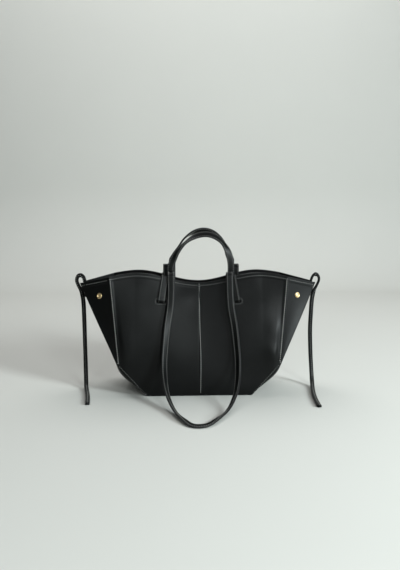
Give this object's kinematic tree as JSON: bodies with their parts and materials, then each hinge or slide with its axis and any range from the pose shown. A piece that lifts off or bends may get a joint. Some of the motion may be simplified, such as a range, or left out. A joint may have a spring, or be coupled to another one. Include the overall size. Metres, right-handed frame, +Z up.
{
  "type": "tote bag",
  "caption": "Winged leather tote bag with two short arched handles, two long looped handles, press studs at the wings and a free leather tie at each side.",
  "frame": {"origin": "centre of the base's underside", "axes": "+Z up, front towards -Y, wide side along X"},
  "size_m": [0.4818, 0.4803, 0.3152],
  "materials": {
    "body_leather": "smooth black leather, soft sheen",
    "strap_leather": "black leather strap, stitched along both edges",
    "tie_leather": "narrow black leather tie, stitched",
    "lining": "matt black inner leather",
    "brass": "polished pale gold press stud"
  },
  "bodies": {
    "bag_body": {"back_left_long_end": "strap_leather", "back_left_panel": "body_leather", "back_left_rim_loop": "strap_leather", "back_left_short_end": "strap_leather", "back_left_slot_patch": "lining", "back_left_stud_cap": "brass", "back_left_stud_post": "brass", "back_left_wing": "body_leather", "back_right_long_end": "strap_leather", "back_right_panel": "body_leather", "back_right_rim_loop": "strap_leather", "back_right_short_end": "strap_leather", "back_right_slot_patch": "lining", "back_right_stud_cap": "brass", "back_right_stud_post": "brass", "back_right_wing": "body_leather", "back_rim_facing": "lining", "base_board": "lining", "base_panel": "body_leather", "front_left_long_end": "strap_leather", "front_left_panel": "body_leather", "front_left_rim_loop": "strap_leather", "front_left_short_end": "strap_leather", "front_left_slot_patch": "lining", "front_left_stud_cap": "brass", "front_left_stud_socket": "brass", "front_left_wing": "body_leather", "front_right_long_end": "strap_leather", "front_right_panel": "body_leather", "front_right_rim_loop": "strap_leather", "front_right_short_end": "strap_leather", "front_right_slot_patch": "lining", "front_right_stud_cap": "brass", "front_right_stud_socket": "brass", "front_right_wing": "body_leather", "front_rim_facing": "lining", "left_side_gusset": "body_leather", "left_tie": "tie_leather", "left_tie_tab": "body_leather", "right_side_gusset": "body_leather", "right_tie": "tie_leather", "right_tie_tab": "body_leather"},
    "front_short_grip": {"front_short_handle": "strap_leather"},
    "back_short_grip": {"back_short_handle": "strap_leather"},
    "front_long_grip": {"front_long_handle": "strap_leather"},
    "back_long_grip": {"back_long_handle": "strap_leather"}
  },
  "joints": [
    {"name": "front_short_fold", "type": "hinge", "parent": "bag_body", "child": "front_short_grip", "pos_m": [0, -0.01572, 0.23245], "axis": [1, 0, 0], "range_deg": [0, 55]},
    {"name": "back_short_fold", "type": "hinge", "parent": "bag_body", "child": "back_short_grip", "pos_m": [0, 0.01647, 0.24474], "axis": [-1, 0, 0], "range_deg": [0, 55]},
    {"name": "front_long_lift", "type": "hinge", "parent": "bag_body", "child": "front_long_grip", "pos_m": [0, -0.02731, 0.22815], "axis": [-1, 0, 0], "range_deg": [0, 90]},
    {"name": "back_long_lift", "type": "hinge", "parent": "bag_body", "child": "back_long_grip", "pos_m": [0, 0.02847, 0.24044], "axis": [1, 0, 0], "range_deg": [0, 90]}
  ]
}
